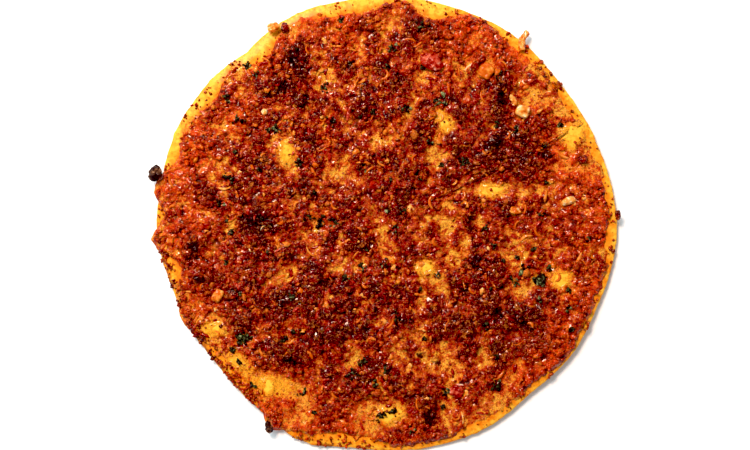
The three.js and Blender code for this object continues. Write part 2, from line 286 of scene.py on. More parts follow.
def bread_underside(x, y):
    return looked_up(bread_low_field, x, y) + 0.12 * (1 + rough(x, y, 6, 15))


def shifted(x, y):
    """The place moved by about a millimetre at random, which makes smooth borders ragged."""
    return x + 1.3 * rough(x, y, 3.6, 25), y + 1.3 * rough(x, y, 3.6, 26)


def mince_depth(x, y):
    return looked_up(mince_depth_field, *shifted(x, y))


def bells(x, y, spots):
    """The highest of the spots' Gaussian bells: 1 at the middle of a spot, fading to 0 outside.

    Each spot is its x, y, half length, half width in millimetres and its turn in degrees."""
    most = np.zeros(np.shape(x))
    for cx, cy, half_length, half_width, turn in spots:
        c, s = np.cos(np.radians(turn)), np.sin(np.radians(turn))
        along = ((x - cx) * c + (y - cy) * s) / half_length
        across = ((y - cy) * c - (x - cx) * s) / half_width
        most = np.maximum(most, np.exp(-(along**2 + across**2)))
    return most


# Places where the spread is wiped so thin that yellow bread shines through.
WIPED_SPOTS = ((-63, -62, 8, 3, -50), (-50, -71, 10, 4, -12), (-76, -46, 5, 4, 20))


def bareness(x, y):
    """1 in the middle of a hole in the mince, fading to 0 a few millimetres outside it."""
    sx, sy = shifted(x, y)
    return np.maximum(looked_up(bare_field, sx, sy), bells(sx, sy, WIPED_SPOTS))


def rim_taper(x, y):
    """From 0 at the mince's rim to 1 inside: slow beside a bare edge, quick where mince runs over it."""
    angle = np.arctan2(y, x)
    bare_width = bread_rim(angle) - mince_rim(angle)
    fade = 1.0 + 1.6 * smoothstep(bare_width, 1.5, 4)
    return smoothstep(mince_rim(angle) - np.hypot(x, y), -0.6, fade)


def mince_amount(x, y):
    """From 0, bare bread, to 1, a full heap: the felt depth with ragged, clumpy borders.

    Towards the bread's rim the heaps get lower, least so at the lower right. Wiped spots keep a seventh."""
    depth = mince_depth(x, y)
    clumps = 0.5 * rough(x, y, 13, 20) + 0.8 * rough(x, y, 6, 21) + 0.8 * rough(x, y, 2.9, 22, 2)
    full = smoothstep(depth + clumps, 0.7, 3.7)
    outward = smoothstep(np.hypot(x, y) / bread_rim(np.arctan2(y, x)), 0.88, 0.97)
    thinned = 1 - 0.45 * outward * (0.25 + 0.75 * smoothstep(y - x, -130, -50))
    wiped = 1 - 0.85 * bells(*shifted(x, y), WIPED_SPOTS)
    return wiped * thinned * full * smoothstep(depth, 0.15, 0.8) * (0.15 + 0.85 * rim_taper(x, y))


# %% [markdown]
# ## Meshes from arrays
#
# Blender takes a mesh quickest as flat arrays: points, the corners of all faces in a row, and where each
# face starts. One helper does that for every piece here. Numbers that a material needs at each point,
# such as how browned it is, go in as named attributes, which stay with the surface in any view.

# %% Put arrays into a mesh
def add_piece(name, points, faces, slot, attributes, replaced=()):
    """A smooth mesh on the frame's body, from points in millimetres and a list of face arrays."""
    mesh = bpy.data.meshes.new(name)
    counts = np.concatenate([np.full(len(group), group.shape[1]) for group in faces])
    corners = np.concatenate([group.ravel() for group in faces])
    mesh.vertices.add(len(points))
    mesh.vertices.foreach_set("co", (points * MM).astype(np.float32).ravel())
    mesh.loops.add(len(corners))
    mesh.loops.foreach_set("vertex_index", corners.astype(np.int32))
    mesh.polygons.add(len(counts))
    mesh.polygons.foreach_set("loop_start", (np.cumsum(counts) - counts).astype(np.int32))
    mesh.polygons.foreach_set("use_smooth", np.ones(len(counts), bool))
    mesh.update(calc_edges=True)
    for title, values in attributes.items():
        layer = mesh.attributes.new(title, "FLOAT", "POINT")
        layer.data.foreach_set("value", np.asarray(values, np.float32).ravel())
    mesh.materials.append(finishes[slot])
    piece = bpy.data.objects.new(name, mesh)
    bpy.context.scene.collection.objects.link(piece)
    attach(piece, "root")
    if replaced:
        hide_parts(*replaced)
    triangles = int((counts - 2).sum())
    print(f"{name}: {triangles} triangles")
    return piece


# %% [markdown]
# ## Finishes
#
# Baked food is never one colour. Each finish below starts from the numbers that its piece carries, turns
# them into colour with a ramp, and breaks it up with noise on Object coordinates. A small class keeps the
# node graphs short to write: each method adds one node and gives back its output.

# %% A short way to write node graphs
class Graph:
    """Adds nodes to a tree and joins them, so that a material reads like a formula."""

    def __init__(self, tree):
        self.tree = tree

    def node(self, kind, **settings):
        made = self.tree.nodes.new(kind)
        for key, value in settings.items():
            setattr(made, key, value)
        return made

    def feed(self, socket, value):
        """Joins an output to the socket, or gives the socket a plain value."""
        if isinstance(value, bpy.types.NodeSocket):
            self.tree.links.new(value, socket)
        else:
            socket.default_value = value

    def attribute(self, title):
        return self.node("ShaderNodeAttribute", attribute_name=title).outputs["Fac"]

    def noise(self, scale, detail, roughness):
        """Noise on the piece's own coordinates, with `scale` swells to a metre."""
        made = self.node("ShaderNodeTexNoise")
        self.feed(made.inputs["Vector"], self.node("ShaderNodeTexCoord").outputs["Object"])
        self.feed(made.inputs["Scale"], scale)
        self.feed(made.inputs["Detail"], detail)
        self.feed(made.inputs["Roughness"], roughness)
        return made.outputs["Fac"]

    def swells(self, size_mm, detail):
        return self.noise(1 / (size_mm * MM), detail, 0.6)

    def between(self, value, from_low, from_high, to_low=0.0, to_high=1.0):
        """The value with from_low to from_high made to_low to to_high, flat outside them."""
        made = self.node("ShaderNodeMapRange", interpolation_type="SMOOTHSTEP")
        for socket, number in zip(made.inputs, (value, from_low, from_high, to_low, to_high)):
            self.feed(socket, number)
        return made.outputs["Result"]

    def patchy(self, size_mm, detail, from_low, from_high, to_low=0.0, to_high=1.0):
        """Patches about `size_mm` wide: swells cut between two heights."""
        return self.between(self.swells(size_mm, detail), from_low, from_high, to_low, to_high)

    def math(self, operation, first, second=0.0):
        made = self.node("ShaderNodeMath", operation=operation)
        self.feed(made.inputs[0], first)
        self.feed(made.inputs[1], second)
        return made.outputs[0]

    def plus(self, first, second):
        return self.math("ADD", first, second)

    def times(self, first, second):
        return self.math("MULTIPLY", first, second)

    def ramp(self, value, *stops):
        """A colour for a value: stops are (position, (red, green, blue)) as a screen shows them."""
        made = self.node("ShaderNodeValToRGB")
        self.feed(made.inputs["Fac"], value)
        elements = made.color_ramp.elements
        while len(elements) < len(stops):
            elements.new(0.5)
        for element, (position, colour) in zip(elements, stops):
            element.position = position
            element.color = linear(colour)
        return made.outputs["Color"]

    def mix(self, first, second, share, blend="MIX"):
        """From the first colour towards the second, an output or a colour as a screen shows it."""
        made = self.node("ShaderNodeMix", data_type="RGBA", blend_type=blend)
        self.feed(made.inputs["Factor"], share)
        self.feed(made.inputs[6], first)
        self.feed(made.inputs[7], linear(second) if isinstance(second, tuple) else second)
        return made.outputs[2]

    def bump(self, height, distance_mm, strength):
        made = self.node("ShaderNodeBump")
        self.feed(made.inputs["Height"], height)
        self.feed(made.inputs["Distance"], distance_mm * MM)
        self.feed(made.inputs["Strength"], strength)
        return made.outputs["Normal"]


def linear(colour):
    """Screen colour to light, each channel to the power of 2.2, and fully opaque."""
    return (*(channel**2.2 for channel in colour), 1)


SHEEN = 0.15  # reflection at right angles, where 0.5 is that of plastic
SKIN_DEPTH = 1.2 * MM  # how far light passes under the skin of wet food
SKIN_REACH = (1.0, 0.35, 0.12)  # the share of that depth for red, green and blue

finishes = {}  # the finish of each material slot


def new_material(slot, name, roughness, coat, coat_roughness=0.1, glow=0.0):
    """A material with one Principled shader; `glow` is the share of light that passes under its skin."""
    material = bpy.data.materials.new(name)
    material.use_nodes = True
    shader = material.node_tree.nodes["Principled BSDF"]
    shader.inputs["Roughness"].default_value = roughness
    shader.inputs["Coat Weight"].default_value = coat
    shader.inputs["Coat Roughness"].default_value = coat_roughness
    shader.inputs["Specular IOR Level"].default_value = SHEEN
    shader.inputs["Subsurface Weight"].default_value = glow
    shader.inputs["Subsurface Radius"].default_value = SKIN_REACH
    shader.inputs["Subsurface Scale"].default_value = SKIN_DEPTH
    finishes[slot] = material
    return Graph(material.node_tree), shader


# %% A node group: the mottle and pits of baked food
def make_mottle_group():
    """Input: Scale, in patches to a metre. Outputs: Mottle, a soft patchiness, and Pits, a fine height."""
    group = bpy.data.node_groups.new("baked_mottle", "ShaderNodeTree")
    for title, way in (("Scale", "INPUT"), ("Mottle", "OUTPUT"), ("Pits", "OUTPUT")):
        group.interface.new_socket(title, in_out=way, socket_type="NodeSocketFloat")
    graph = Graph(group)
    scale = graph.node("NodeGroupInput").outputs["Scale"]
    wanted = graph.node("NodeGroupOutput")
    coarse = graph.noise(scale, 4.0, 0.5)
    graph.feed(wanted.inputs["Mottle"], graph.between(coarse, 0.3, 0.7))
    graph.feed(wanted.inputs["Pits"], graph.noise(graph.times(scale, 4.0), 3.0, 0.7))
    return group


mottle_group = make_mottle_group()
print("node group:", mottle_group.name)


def mottle(graph, size_mm):
    """Places the group with its own size and gives back its mottle and its pits."""
    made = graph.node("ShaderNodeGroup", node_tree=mottle_group)
    made.inputs["Scale"].default_value = 1 / (size_mm * MM)
    return made.outputs["Mottle"], made.outputs["Pits"]


# %% [markdown]
# ### Bread
#
# The bare edge and the blisters are bright golden yellow. Near the mince, orange oil has soaked in, and
# the piece carries that as its `stain`. Its underside and the turn of its edge are toasted, carried as
# `toast`. The yellow is easily made olive by a grey shadow, so the dark end of the ramp stays orange.

# %% The bread's finish
def make_bread_material():
    graph, shader = new_material("bread", "golden_bread", roughness=0.55, coat=0.12, coat_roughness=0.25)
    mottled, pits = mottle(graph, 9)
    stain = graph.plus(graph.attribute("stain"), graph.patchy(2.5, 4, 0.3, 0.7, -0.35, 0.4))
    soaked = graph.ramp(
        stain,
        (0.0, (0.92, 0.70, 0.23)),
        (0.25, (0.89, 0.59, 0.17)),
        (0.6, (0.88, 0.49, 0.11)),
        (1.0, (0.78, 0.35, 0.06)),
    )
    warm = graph.mix(soaked, (0.93, 0.58, 0.12), graph.times(mottled, 0.35))
    freckles = graph.times(graph.patchy(1.1, 3, 0.56, 0.70), 0.6)
    freckled = graph.mix(warm, (0.58, 0.22, 0.05), freckles)
    toast = graph.plus(graph.attribute("toast"), graph.patchy(5, 3, 0.35, 0.7, -0.3, 0.3))
    crust = graph.ramp(graph.swells(2.2, 4), (0.3, (0.36, 0.15, 0.04)), (0.7, (0.70, 0.40, 0.13)))
    colour = graph.mix(freckled, crust, graph.between(toast, 0.35, 0.9))
    graph.feed(shader.inputs["Base Color"], colour)
    graph.feed(shader.inputs["Roughness"], graph.between(mottled, 0, 1, 0.42, 0.66))
    graph.feed(shader.inputs["Normal"], graph.bump(pits, 0.35, 0.5))


make_bread_material()

# %% [markdown]
# ### Mince
#
# Browned mince is dark red where it is thick, and lets the orange of the oil through where it is thin.
# Each grain has its own tone, from wine red over brown to orange. Onion, curled fibres, specks and grit
# are laid over that one by one, with small pale spots of painted highlight for glints. The clefts of thick
# heaps are painted almost black as shade, which leaves their crests lighter. A wet coat with a tight
# highlight, in patches, gives the oily glints.

# %% The mince's finish
def make_mince_material():
    graph, shader = new_material("mince", "browned_mince", 0.5, coat=0.5, coat_roughness=0.13, glow=0.3)
    mottled, pits = mottle(graph, 2.2)
    tone = graph.attribute("tone")
    heap = graph.attribute("heap")
    swing = graph.times(graph.math("SUBTRACT", tone, 0.5), -0.45)
    speckle = graph.patchy(0.9, 3, 0.32, 0.68, -0.12, 0.12)
    drift = graph.patchy(3.4, 3, 0.3, 0.7, -0.2, 0.26)
    uneven = graph.plus(swing, graph.plus(speckle, drift))
    colour = graph.ramp(
        graph.plus(heap, uneven),
        (0.0, (0.86, 0.59, 0.20)),
        (0.13, (0.79, 0.46, 0.14)),
        (0.25, (0.71, 0.31, 0.09)),
        (0.42, (0.61, 0.17, 0.05)),
        (0.62, (0.50, 0.085, 0.03)),
        (0.82, (0.39, 0.04, 0.015)),
        (1.0, (0.26, 0.02, 0.008)),
    )
    fresh = graph.times(graph.attribute("fresh"), graph.between(mottled, 0, 1, 0.3, 0.9))
    colour = graph.mix(colour, (0.84, 0.26, 0.05), fresh)
    chunks = graph.patchy(2.2, 2, 0.58, 0.66)
    onion = graph.math("MAXIMUM", graph.between(tone, 0.9, 0.98), chunks)
    colour = graph.mix(colour, (0.82, 0.46, 0.15), graph.times(onion, 0.5))
    bend = graph.math("ABSOLUTE", graph.math("SUBTRACT", graph.swells(2.6, 1.5), 0.5))
    curls = graph.between(bend, 0.0, 0.03, 1.0, 0.0)
    fibres = graph.times(curls, graph.patchy(4, 3, 0.42, 0.6, 0.0, 0.4))
    colour = graph.mix(colour, (0.86, 0.48, 0.20), fibres)
    specks = graph.times(graph.patchy(0.9, 2, 0.57, 0.64), 0.75)
    thin = graph.between(heap, 0.0, 0.45, 1.0, 0.0)
    colour = graph.mix(colour, (0.50, 0.10, 0.03), graph.times(specks, thin))
    # Painted highlight: small pale pink spots in the colour stand for oily glints.
    painted_glints = graph.times(graph.patchy(0.55, 1, 0.6, 0.7), 0.6)
    colour = graph.mix(colour, (0.88, 0.52, 0.34), painted_glints)
    fading = graph.plus(graph.attribute("bare"), graph.patchy(1.5, 3, 0.3, 0.7, -0.3, 0.2))
    bare = graph.times(graph.between(fading, 0.05, 0.6), 0.85)
    colour = graph.mix(colour, (0.88, 0.58, 0.15), bare)
    # Painted shade: where the crest is low, in clefts and under grains, the colour goes near black on thick
    # heaps.
    cleft = graph.between(graph.attribute("crest"), 0.0, 0.6, 1.0, 0.0)
    painted_cleft_shade = graph.times(cleft, graph.between(heap, 0.1, 0.6, 0.0, 0.9))
    colour = graph.mix(colour, (0.13, 0.01, 0.004), painted_cleft_shade)
    scorch = graph.plus(graph.attribute("burnt"), graph.patchy(1.6, 3, 0.3, 0.7, -0.4, 0.3))
    colour = graph.mix(colour, (0.11, 0.03, 0.02), graph.between(scorch, 0.25, 0.85, 0.0, 0.92))
    grit = graph.patchy(0.42, 1, 0.3, 0.7, 0.62, 1.38)
    graph.feed(shader.inputs["Base Color"], graph.mix(colour, grit, 1.0, "MULTIPLY"))
    graph.feed(shader.inputs["Roughness"], graph.between(mottled, 0, 1, 0.4, 0.65))
    graph.feed(shader.inputs["Coat Weight"], graph.patchy(1.2, 3, 0.46, 0.6, 0.1, 1.0))
    relief = graph.plus(pits, graph.times(curls, 0.7))
    graph.feed(shader.inputs["Normal"], graph.bump(relief, 0.4, 0.9))


make_mince_material()

# %% [markdown]
# ### Onion, tomato, parsley and char
#
# Cooked onion is soft and glassy, pale where it stands free and orange where oil has reached it. Tomato
# is wet and red. Baked parsley is nearly black with a little green left. Charred crumbs are matt and dark.
# They differ only in their ramps and gloss, so one function makes all four.

# %% Finishes of the bits
def make_bit_material(slot, name, roughness, coat, glow, mottle_mm, bump_mm, stops):
    """A mottled finish whose ramp runs over the piece's own tone."""
    graph, shader = new_material(slot, name, roughness, coat, glow=glow)
    mottled, pits = mottle(graph, mottle_mm)
    tone = graph.plus(graph.attribute("tone"), graph.between(mottled, 0, 1, -0.22, 0.22))
    graph.feed(shader.inputs["Base Color"], graph.ramp(tone, *stops))
    sheen_swing = graph.between(mottled, 0, 1, roughness - 0.12, roughness + 0.12)
    graph.feed(shader.inputs["Roughness"], sheen_swing)
    graph.feed(shader.inputs["Normal"], graph.bump(pits, bump_mm, 0.6))


make_bit_material(
    "onion", "soft_onion", roughness=0.35, coat=0.6, glow=0.25, mottle_mm=1.8, bump_mm=0.3,
    stops=((0.0, (0.74, 0.33, 0.09)), (0.35, (0.84, 0.48, 0.17)), (0.7, (0.90, 0.64, 0.34)),
           (1.0, (0.95, 0.84, 0.66))),
)
# The tomato's pinkish-white top stop is painted highlight: pale streaks that stand for wet glints.
make_bit_material(
    "tomato", "wet_tomato", roughness=0.3, coat=0.8, glow=0.2, mottle_mm=1.5, bump_mm=0.4,
    stops=((0.0, (0.46, 0.06, 0.03)), (0.4, (0.64, 0.17, 0.09)), (0.75, (0.78, 0.37, 0.26)),
           (1.0, (0.93, 0.74, 0.64))),
)
# The parsley's pale grey-green stops are partly the leaves' own green and partly painted highlight.
make_bit_material(
    "herb", "baked_parsley", roughness=0.6, coat=0.2, glow=0.0, mottle_mm=0.8, bump_mm=0.15,
    stops=((0.0, (0.12, 0.07, 0.04)), (0.5, (0.20, 0.19, 0.10)), (0.8, (0.33, 0.35, 0.20)),
           (1.0, (0.52, 0.54, 0.36))),
)
make_bit_material(
    "char", "charred_crumb", roughness=0.7, coat=0.2, glow=0.0, mottle_mm=0.9, bump_mm=0.9,
    stops=((0.0, (0.10, 0.05, 0.03)), (0.5, (0.25, 0.15, 0.09)), (0.8, (0.44, 0.30, 0.20)),
           (1.0, (0.66, 0.50, 0.38))),
)
print("finishes:", {slot: finish.name for slot, finish in finishes.items()})

# %% [markdown]
# ## Slabs with a round outline
#
# Both the bread and the spread are slabs. Rings around a pole would crowd the middle, so the top is a
# square grid bent into a disc, which has cells of equal size everywhere. Its border is then carried down
# the side and under by rings, until the bottom closes.

# %% The grid bent into a disc, and the slab
def disc(cells):
    """A square grid from -1 to 1 bent into a unit disc.

    The larger of the two coordinates becomes the radius, and their ratio becomes the angle, so each
    square ring of the grid becomes a circle and all cells keep the same area."""
    a, b = np.meshgrid(np.linspace(-1, 1, cells + 1), np.linspace(-1, 1, cells + 1))
    wide = np.abs(a) > np.abs(b)
    radius = np.where(wide, a, b)
    safe = np.where(radius == 0, 1, radius)
    angle = np.where(wide, np.pi / 4 * b / safe, np.pi / 2 - np.pi / 4 * a / safe)
    return (radius * np.cos(angle)).ravel(), (radius * np.sin(angle)).ravel()


def disc_faces(cells):
    """Quads of the grid, turned so that they face up."""
    i, j = np.meshgrid(np.arange(cells), np.arange(cells))
    a = (j * (cells + 1) + i).ravel()
    return np.stack([a, a + 1, a + cells + 2, a + cells + 1], 1)


def disc_border(cells):
    """The grid's border points, anticlockwise seen from above."""
    along, across = np.arange(cells), cells + 1
    right = along * across + cells
    back = cells * across + cells - along
    left = (cells - along) * across
    return np.concatenate([along, right, back, left])


def band(upper, lower):
    """Quads between two rings of points, facing outwards."""
    return np.stack([upper, lower, np.roll(lower, -1), np.roll(upper, -1)], 1)


def ring_points(u, v, share, rim):
    """Points at a share of the rim's distance, in the directions of the unit points u, v."""
    reach = share * rim(np.arctan2(v, u))
    length = np.maximum(np.hypot(u, v), 1e-9)
    return u / length * reach, v / length * reach


# %% [markdown]
# ## The bread
#
# It is rolled thin and baked hot, so its top is gently bumpy and blistered, its edge rounded and in places
# curled, and its underside nearly flat. Top and underside are two of those discs, joined by a rounded
# edge. The stain is a blurred map of where mince lies, so that the oil spreads a little past the mince.

# %% What colours the bread
SOAKING_DEPTH = 1.2  # mince this deep, in millimetres, soaks the bread fully

stain_field = blurred(under_rim * np.clip(mince_depth_field, 0, SOAKING_DEPTH) / SOAKING_DEPTH, 1.8)


def stain_and_toast(points, count):
    """Both at each point. The first `count` points are the top, the next the underside, then the edge."""
    x, y = points[:, 0], points[:, 1]
    under, edge = slice(count, 2 * count), slice(2 * count, None)
    low_left = smoothstep(-x - y, 60, 130)
    reach = np.hypot(x, y) / bread_rim(np.arctan2(y, x))
    soaked = looked_up(stain_field, x, y)
    soaked[under] = 0
    soaked[edge] *= 0.7
    stain = np.clip(soaked - 0.5 * bareness(x, y), 0, 1)
    stain = np.clip(stain + 0.25 * low_left * smoothstep(reach, 0.9, 0.96), 0, 1)
    toast = smoothstep(reach, 0.965, 1.0) * (0.2 + 0.5 * low_left)
    toast[under] = 0.62
    toast[edge] = 0.3 + 0.3 * low_left[edge]
    return {"stain": stain, "toast": toast}


# %% Build the bread
BREAD_CELLS = 200
TOP_SHARE = 0.991  # the discs end at this share of the rim's distance, and the rounded edge goes on
# Each ring of the edge: its share of the rim's distance, and how high it is between underside and top.
EDGE_RINGS = ((0.9965, 0.90), (0.9995, 0.72), (1.0, 0.5), (0.9985, 0.28), (0.994, 0.1))


def ragged_bread_rim(angle):
    """The felt rim with a tremble of a few tenths of a millimetre."""
    x, y = 100 * np.cos(angle), 100 * np.sin(angle)
    return bread_rim(angle) + 0.35 * rough(x, y, 7, 31)


def build_bread():
    """Top disc, rounded edge and underside disc, with stain and toast at each point."""
    u, v = disc(BREAD_CELLS)
    share = np.hypot(u, v)
    rim = ragged_bread_rim(np.arctan2(v, u))
    x, y = u * rim * TOP_SHARE, v * rim * TOP_SHARE
    under = bread_underside(x, y)
    rounding = 0.35 * smoothstep(share, 0.965, 1.0)
    upper = bread_top(x, y) - 0.6 * rounding * (bread_top(x, y) - under)
    top_points = np.stack([x, y, upper], 1)
    under_points = np.stack([x, y, under], 1)

    border = disc_border(BREAD_CELLS)
    side = []
    for ring_share, height in EDGE_RINGS:
        rx, ry = ring_points(u[border], v[border], ring_share, ragged_bread_rim)
        floor_z = bread_underside(rx, ry)
        roof_z = upper[border]
        side.append(np.stack([rx, ry, floor_z + height * (roof_z - floor_z)], 1))

    count = len(x)
    points = np.concatenate([top_points, under_points, *side])
    side_rings = [2 * count + k * len(border) + np.arange(len(border)) for k in range(len(side))]
    rings = [border, *side_rings, border + count]
    bands = [band(upper_ring, lower_ring) for upper_ring, lower_ring in zip(rings, rings[1:])]
    faces = disc_faces(BREAD_CELLS)
    quads = np.concatenate([faces, faces[:, ::-1] + count, *bands])

    return add_piece("bread", points, [quads], "bread", stain_and_toast(points, count), ["flatbread"])


build_bread()

# %% [markdown]
# ## The bed of mince
#
# Most of the mince is one crumbly mass. It is a height over the bread: a soft base that follows the felt
# depth, plus two sizes of round grains, found with the cell noise. Where the mince is thin, only a film
# with single grains is left, and where it is bare the base sinks under the bread, which gives the ragged,
# crumbly borders.

# %% The height of the mince over the bread
SMALL_GRAIN = 1.95  # distance between small grains, in millimetres
LARGE_GRAIN = 3.3  # and between large ones


def domes(x, y, size, seed, presence):
    """Round grains: height sqrt(1 - (distance / radius)^2) where a grain is present, else 0."""
    wobble = 0.25 * size
    shifted_x = x + wobble * swell(x, y, size, seed + 7)
    shifted_y = y + wobble * swell(x, y, size, seed + 8)
    apart, tone, bulk = grains(shifted_x, shifted_y, size, seed)
    radius = 0.42 + 0.3 * bulk
    height = np.sqrt(np.clip(1 - (apart / radius) ** 2, 0, 1)) * (0.55 + 0.45 * bulk)
    return height * (scrambled(np.round(bulk * 1e6), np.round(tone * 1e6), seed) < presence), tone


def pastiness(x, y):
    """1 where the spread is a smooth paste of onion and tomato, 0 where it is all grains of meat."""
    return smoothstep(rough(x, y, 10, 91) + 0.4 * rough(x, y, 4, 92), -0.05, 0.45)


def mince_height(x, y):
    """Height over the bread, the crest (0 in a cleft, 1 on top of a grain), and the grain's tone. The finish
    paints shade where the crest is low.
    """
    amount = mince_amount(x, y)
    depth = mince_depth(x, y)
    presence = 0.1 + 0.5 * smoothstep(depth, 0.2, 0.7) + 0.5 * smoothstep(amount, 0.05, 0.45)
    small, small_tone = domes(x, y, SMALL_GRAIN, 41, presence)
    large, large_tone = domes(x, y, LARGE_GRAIN, 51, 0.8 * presence)
    film = 0.45 * smoothstep(depth, 0.1, 0.5) * rim_taper(x, y) + 0.1 * rough(x, y, 1.5, 72)
    base = 0.55 * depth * amount - 0.3 + film
    strength = (0.45 + 0.55 * smoothstep(amount, 0.1, 0.5)) * (1 - 0.4 * pastiness(x, y))
    relief = strength * (0.75 * small + 0.9 * large) + 0.14 * rough(x, y, 1.1, 71, 2)
    # The crest is low between grains, where the finish paints shade; thin places get a high one and stay
    # unshaded.
    crest = np.clip(0.6 * small + 0.5 * large + 0.5 * (1 - smoothstep(amount, 0.05, 0.4)), 0, 1)
    tone = np.where(large > 0.35, 0.5 * (small_tone + large_tone), small_tone)
    return base + relief, crest, tone, amount


# %% Fresh and burnt places, and the visible surface
def freshness(x, y):
    """How red and unbrowned the spread is: mostly in patches towards the rim."""
    outward = smoothstep(np.hypot(x, y), 62, 98)
    return np.clip(outward * (0.45 + 0.8 * rough(x, y, 16, 81)) + 0.25 * rough(x, y, 12, 82), 0, 1)


# Places where the mince is burnt.
BURNT_SPOTS = (
    (50, 36, 6, 3, 15), (-45, 61, 6, 3, 40), (-40, 73, 6, 4, 80), (-44, -35, 4, 3, 0),
    (-26, -26, 5, 2.6, 20), (41, -16, 4, 3, 80), (-84, -10, 4, 4, 0), (-82, -24, 4, 3, 0),
    (50, -39, 5, 3, 80), (63, -44, 6, 3, -30), (20, -86, 6, 3, 80), (-41, -60, 5, 3, 0),
    (-57, 2, 5, 4, 30), (52, 57, 7, 2.4, 85), (72, 31, 4, 3, 0), (36, -28, 3, 3, 0),
    (16, -58, 2.4, 2, 0), (24, -61, 2.4, 2, 0),
)


def burntness(x, y):
    return bells(x, y, BURNT_SPOTS)


def spread_top(x, y):
    """Height of the visible surface at any place, bread or mince, whichever is higher."""
    bread = bread_top(x, y)
    inside = np.hypot(x, y) < mince_rim(np.arctan2(y, x))
    return np.where(inside, bread + np.maximum(mince_height(x, y)[0], 0), bread)


# %% Build the bed
BED_CELLS = 296
BED_SHARE = 0.995  # the disc ends at this share of the rim's distance
# Each ring under it: its share of the rim's distance, and its height over the bread in millimetres.
BED_RINGS = ((1.0, -0.3), (0.992, -0.8), (0.97, -1.0), (0.85, -1.0), (0.5, -1.0))


def ragged_mince_rim(angle):
    """The felt rim, made ragged by grains."""
    x, y = 98 * np.cos(angle), 98 * np.sin(angle)
    return mince_rim(angle) + 0.9 * rough(x, y, 4, 61) + 0.5 * swell(x, y, 1.6, 62)


def build_bed():
    """A disc at the height of the mince, whose border turns down into the bread and closes under it."""
    u, v = disc(BED_CELLS)
    rim = ragged_mince_rim(np.arctan2(v, u))
    x, y = u * rim * BED_SHARE, v * rim * BED_SHARE
    height, crest, tone, amount = mince_height(x, y)
    share = np.hypot(u, v)
    settled = height - (height + 0.2) * smoothstep(share, 0.988, 1.0)
    points = [np.stack([x, y, bread_top(x, y) + settled], 1)]
    values = [np.stack([crest, tone, amount], 1)]

    border = disc_border(BED_CELLS)
    rings = [border]
    for ring_share, height_over_bread in BED_RINGS:
        rx, ry = ring_points(u[border], v[border], ring_share, ragged_mince_rim)
        start = sum(len(part) for part in points)
        z = bread_top(rx, ry) + height_over_bread
        points.append(np.stack([rx, ry, z], 1))
        values.append(values[0][border])
        rings.append(start + np.arange(len(border)))
    start = sum(len(part) for part in points)
    points.append(np.array([[0, 0, looked_up(bread_top_field, np.zeros(1), np.zeros(1))[0] - 0.9]]))
    values.append(values[0][:1])
    bands = [band(upper, lower) for upper, lower in zip(rings, rings[1:])]
    last = rings[-1]
    fan = np.stack([last, np.full(len(last), start), np.roll(last, -1)], 1)

    points = np.concatenate(points)
    values = np.concatenate(values)
    quads = np.concatenate([disc_faces(BED_CELLS), *bands])
    attributes = {"crest": values[:, 0], "tone": values[:, 1], "heap": values[:, 2]}
    attributes["fresh"] = freshness(points[:, 0], points[:, 1])
    attributes["bare"] = bareness(points[:, 0], points[:, 1])
    attributes["burnt"] = burntness(points[:, 0], points[:, 1])
    return add_piece("mince_bed", points, [quads, fan], "mince", attributes, ["mince_topping"])


build_bed()

# %% [markdown]
# ## Loose grains
#
# The crispness of real mince comes from separate grains that cast small shadows. Each is a little ball of
# a few dozen faces, pushed out of round, stretched, turned and half sunk. All grains of one kind are one
# array of shape (grains, points, 3), worked out at once, and go into one mesh.

# %% A small ball, and copies of it by broadcasting
def tube(sides, rings):
    """Faces of a closed tube: quads between its rings of points, and a fan to a pole at each end.

    The rings' points come first, then the pole at the first ring and the pole at the last."""
    first = np.arange(sides)
    following = (first + 1) % sides
    steps = np.arange(rings - 1)[:, None] * sides
    quads = np.stack([first + steps, first + steps + sides, following + steps + sides, following + steps], 2)
    last = (rings - 1) * sides
    start_fan = np.stack([np.full(sides, rings * sides), first, following], 1)
    end_fan = np.stack([np.full(sides, rings * sides + 1), following + last, first + last], 1)
    return quads.reshape(-1, 4), np.concatenate([start_fan, end_fan])


def ball(sides, rings):
    """Points of a unit ball, (sin p cos t, sin p sin t, cos p) on its rings, and its two poles."""
    polar = np.pi * (np.arange(rings) + 1)[:, None] / (rings + 1)
    turn = 2 * np.pi * np.arange(sides) / sides
    level = np.cos(polar) * np.ones(sides)
    round_axis = np.stack([np.sin(polar) * np.cos(turn), np.sin(polar) * np.sin(turn), level], 2)
    return np.concatenate([round_axis.reshape(-1, 3), [[0, 0, 1.0], [0, 0, -1.0]]])


def turned(count, rng, tilt):
    """Random turns as matrices: any heading, then a lean of about tilt / 2 about a level axis.

    The lean is c I + s K + (1 - c) a a', with K the cross product with the axis a."""
    heading = rng.uniform(0, 2 * np.pi, count)
    lean = rng.normal(0, tilt / 2, count)
    toward = rng.uniform(0, 2 * np.pi, count)
    axis = np.stack([np.cos(toward), np.sin(toward), np.zeros(count)], 1)
    c, s = np.cos(lean)[:, None, None], np.sin(lean)[:, None, None]
    cross = np.zeros((count, 3, 3))
    cross[:, 0, 2], cross[:, 1, 2] = axis[:, 1], -axis[:, 0]
    cross[:, 2, 0], cross[:, 2, 1] = -axis[:, 1], axis[:, 0]
    leaning = c * np.eye(3) + s * cross + (1 - c) * axis[:, :, None] * axis[:, None, :]
    spin = np.zeros((count, 3, 3))
    spin[:, 0, 0] = spin[:, 1, 1] = np.cos(heading)
    spin[:, 1, 0] = np.sin(heading)
    spin[:, 0, 1] = -spin[:, 1, 0]
    spin[:, 2, 2] = 1
    return leaning @ spin


def repeated(faces, count, size):
    """The same faces for each copy, their point numbers moved on by `size` each time."""
    return (faces[None] + size * np.arange(count)[:, None, None]).reshape(-1, faces.shape[1])


print("the smallest ball has", len(ball(6, 3)), "points")

# %% Scatter lumpy balls over the surface
GRAIN_SHAPE = (6, 3)  # sides and rings of the smallest balls
BIT_SHAPE = (8, 5)
LEAF_SHAPE = (7, 4)


